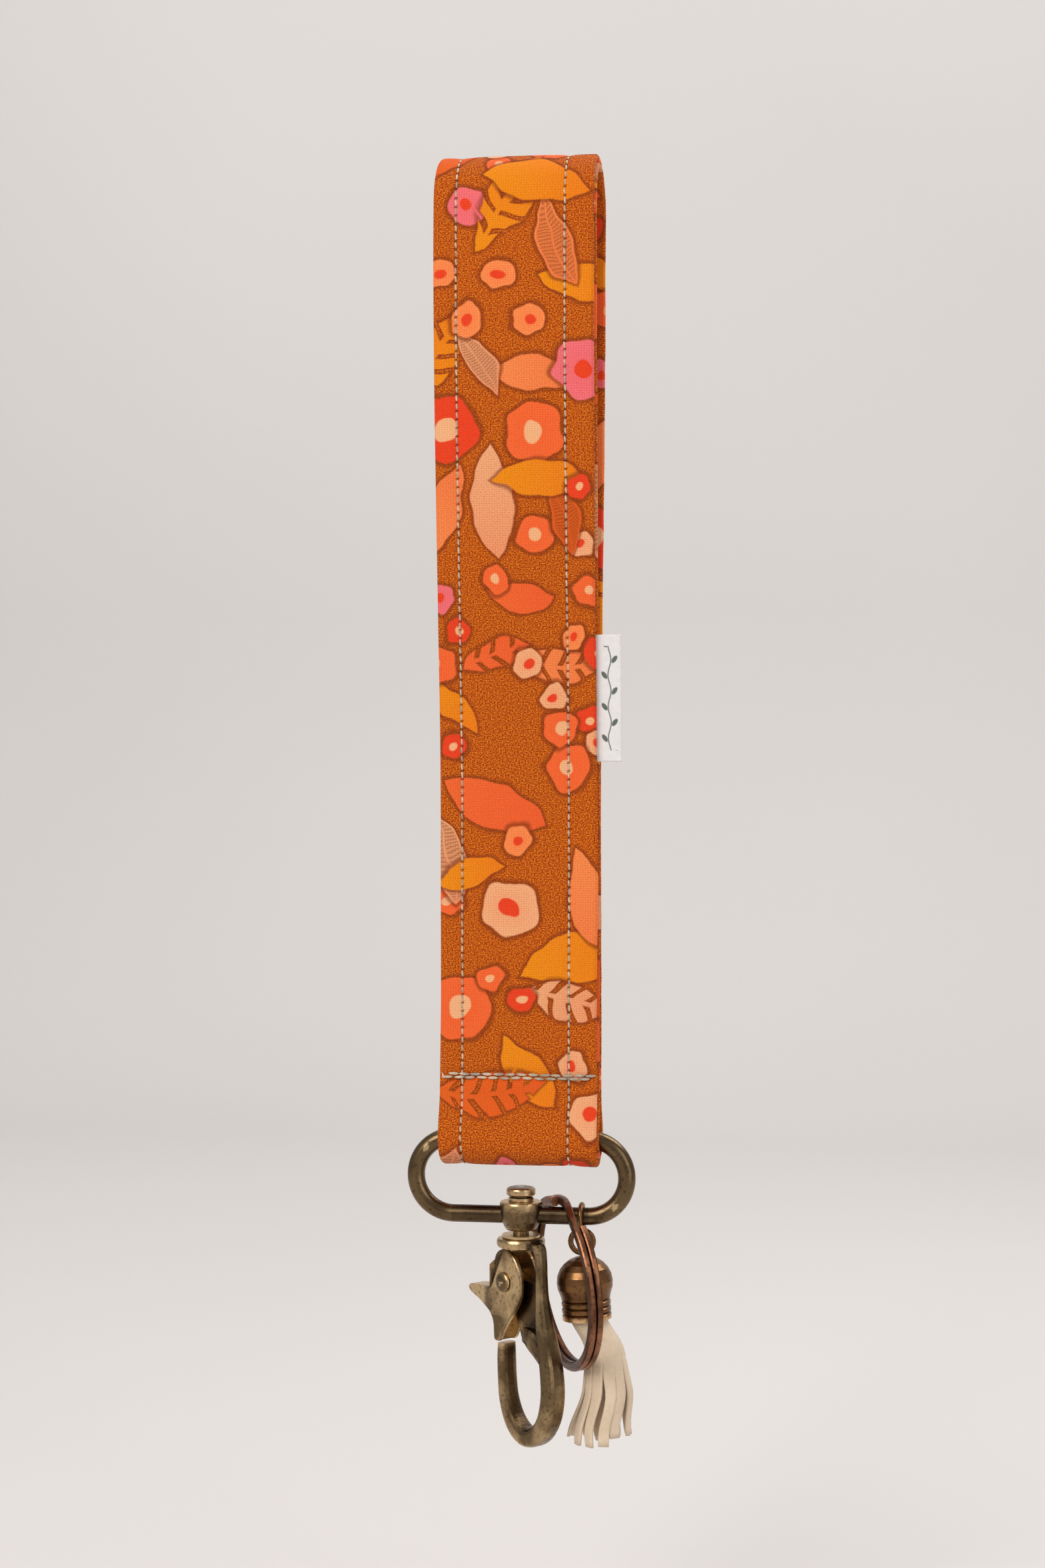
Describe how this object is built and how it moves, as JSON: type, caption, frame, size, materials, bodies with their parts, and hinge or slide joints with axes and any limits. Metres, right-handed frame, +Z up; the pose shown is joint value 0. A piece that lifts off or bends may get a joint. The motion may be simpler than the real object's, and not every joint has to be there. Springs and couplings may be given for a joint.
{
  "type": "wristlet keychain",
  "caption": "Padded fabric wrist loop on an oval swivel ring, with a sprung trigger hook for keys, a split ring and a suede tassel.",
  "frame": {"origin": "on the axis of whatever the loop hangs from, in the middle of the loop's top arc", "axes": "+Z up along the strap, +X across the strap towards the labelled edge, -Y out of the front"},
  "size_m": [0.046, 0.0319, 0.2562],
  "materials": {
    "printed_cotton": "matt woven cotton, floral print",
    "fleece": "matt needled fleece",
    "satin_label": "soft satin ribbon",
    "thread": "spun sewing thread",
    "antique_brass": "antiqued, semi-bright",
    "dark_bronze": "dark bronze plating",
    "antique_copper": "antique copper plating",
    "spring_steel": "drawn wire",
    "suede": "napped suede"
  },
  "bodies": {
    "strap": {"strap_cover": "printed_cotton", "strap_core": "fleece", "side_label": "satin_label", "topstitch_left": "thread", "topstitch_right": "thread", "seam_stitch": "thread"},
    "ring": {"swivel_ring": "antique_brass"},
    "hook": {"swivel_stud": "antique_brass", "swivel_washer": "antique_brass", "hook_body": "antique_brass", "trigger_pin": "antique_brass", "trigger_spring": "spring_steel"},
    "trigger": {"trigger_lever": "antique_brass"},
    "key_ring": {"split_ring": "dark_bronze"},
    "jump_link": {"jump_ring": "antique_copper"},
    "tassel": {"tassel_eye": "antique_copper", "tassel_cap": "antique_copper", "tassel_roll": "suede", "fringe_outer": "suede", "fringe_inner": "suede"}
  },
  "joints": [
    {"name": "ring_swing", "type": "hinge", "parent": "strap", "child": "ring", "pos_m": [0, 0, -0.1846], "axis": [1, 0, 0], "range_deg": [-80, 80]},
    {"name": "hook_swivel", "type": "hinge", "parent": "ring", "child": "hook", "pos_m": [0, 0, -0.2], "axis": [0, 0, 1], "range_deg": [-30, 5]},
    {"name": "trigger_press", "type": "hinge", "parent": "hook", "child": "trigger", "pos_m": [-0.00178, 0.00161, -0.2136], "axis": [-0.6691, -0.7431, 0], "range_deg": [0, 20], "stiffness_Nm_per_rad": 0.02, "springref_deg": -28.65, "deforming": ["trigger_spring"]},
    {"name": "key_ring_swing", "type": "hinge", "parent": "ring", "child": "key_ring", "pos_m": [0.0078, 0, -0.2], "axis": [1, 0, 0], "range_deg": [-2, 60]},
    {"name": "tassel_front_swing", "type": "hinge", "parent": "ring", "child": "jump_link", "pos_m": [0.0122, 0, -0.2], "axis": [1, 0, 0], "range_deg": [-2, 60]},
    {"name": "tassel_side_swing", "type": "hinge", "parent": "jump_link", "child": "tassel", "pos_m": [0.0122, 0, -0.2039], "axis": [0, -1, 0], "range_deg": [0, 50]}
  ],
  "couplings": [
    {"joint": "tassel_front_swing", "follows": "key_ring_swing", "ratio": 1}
  ]
}
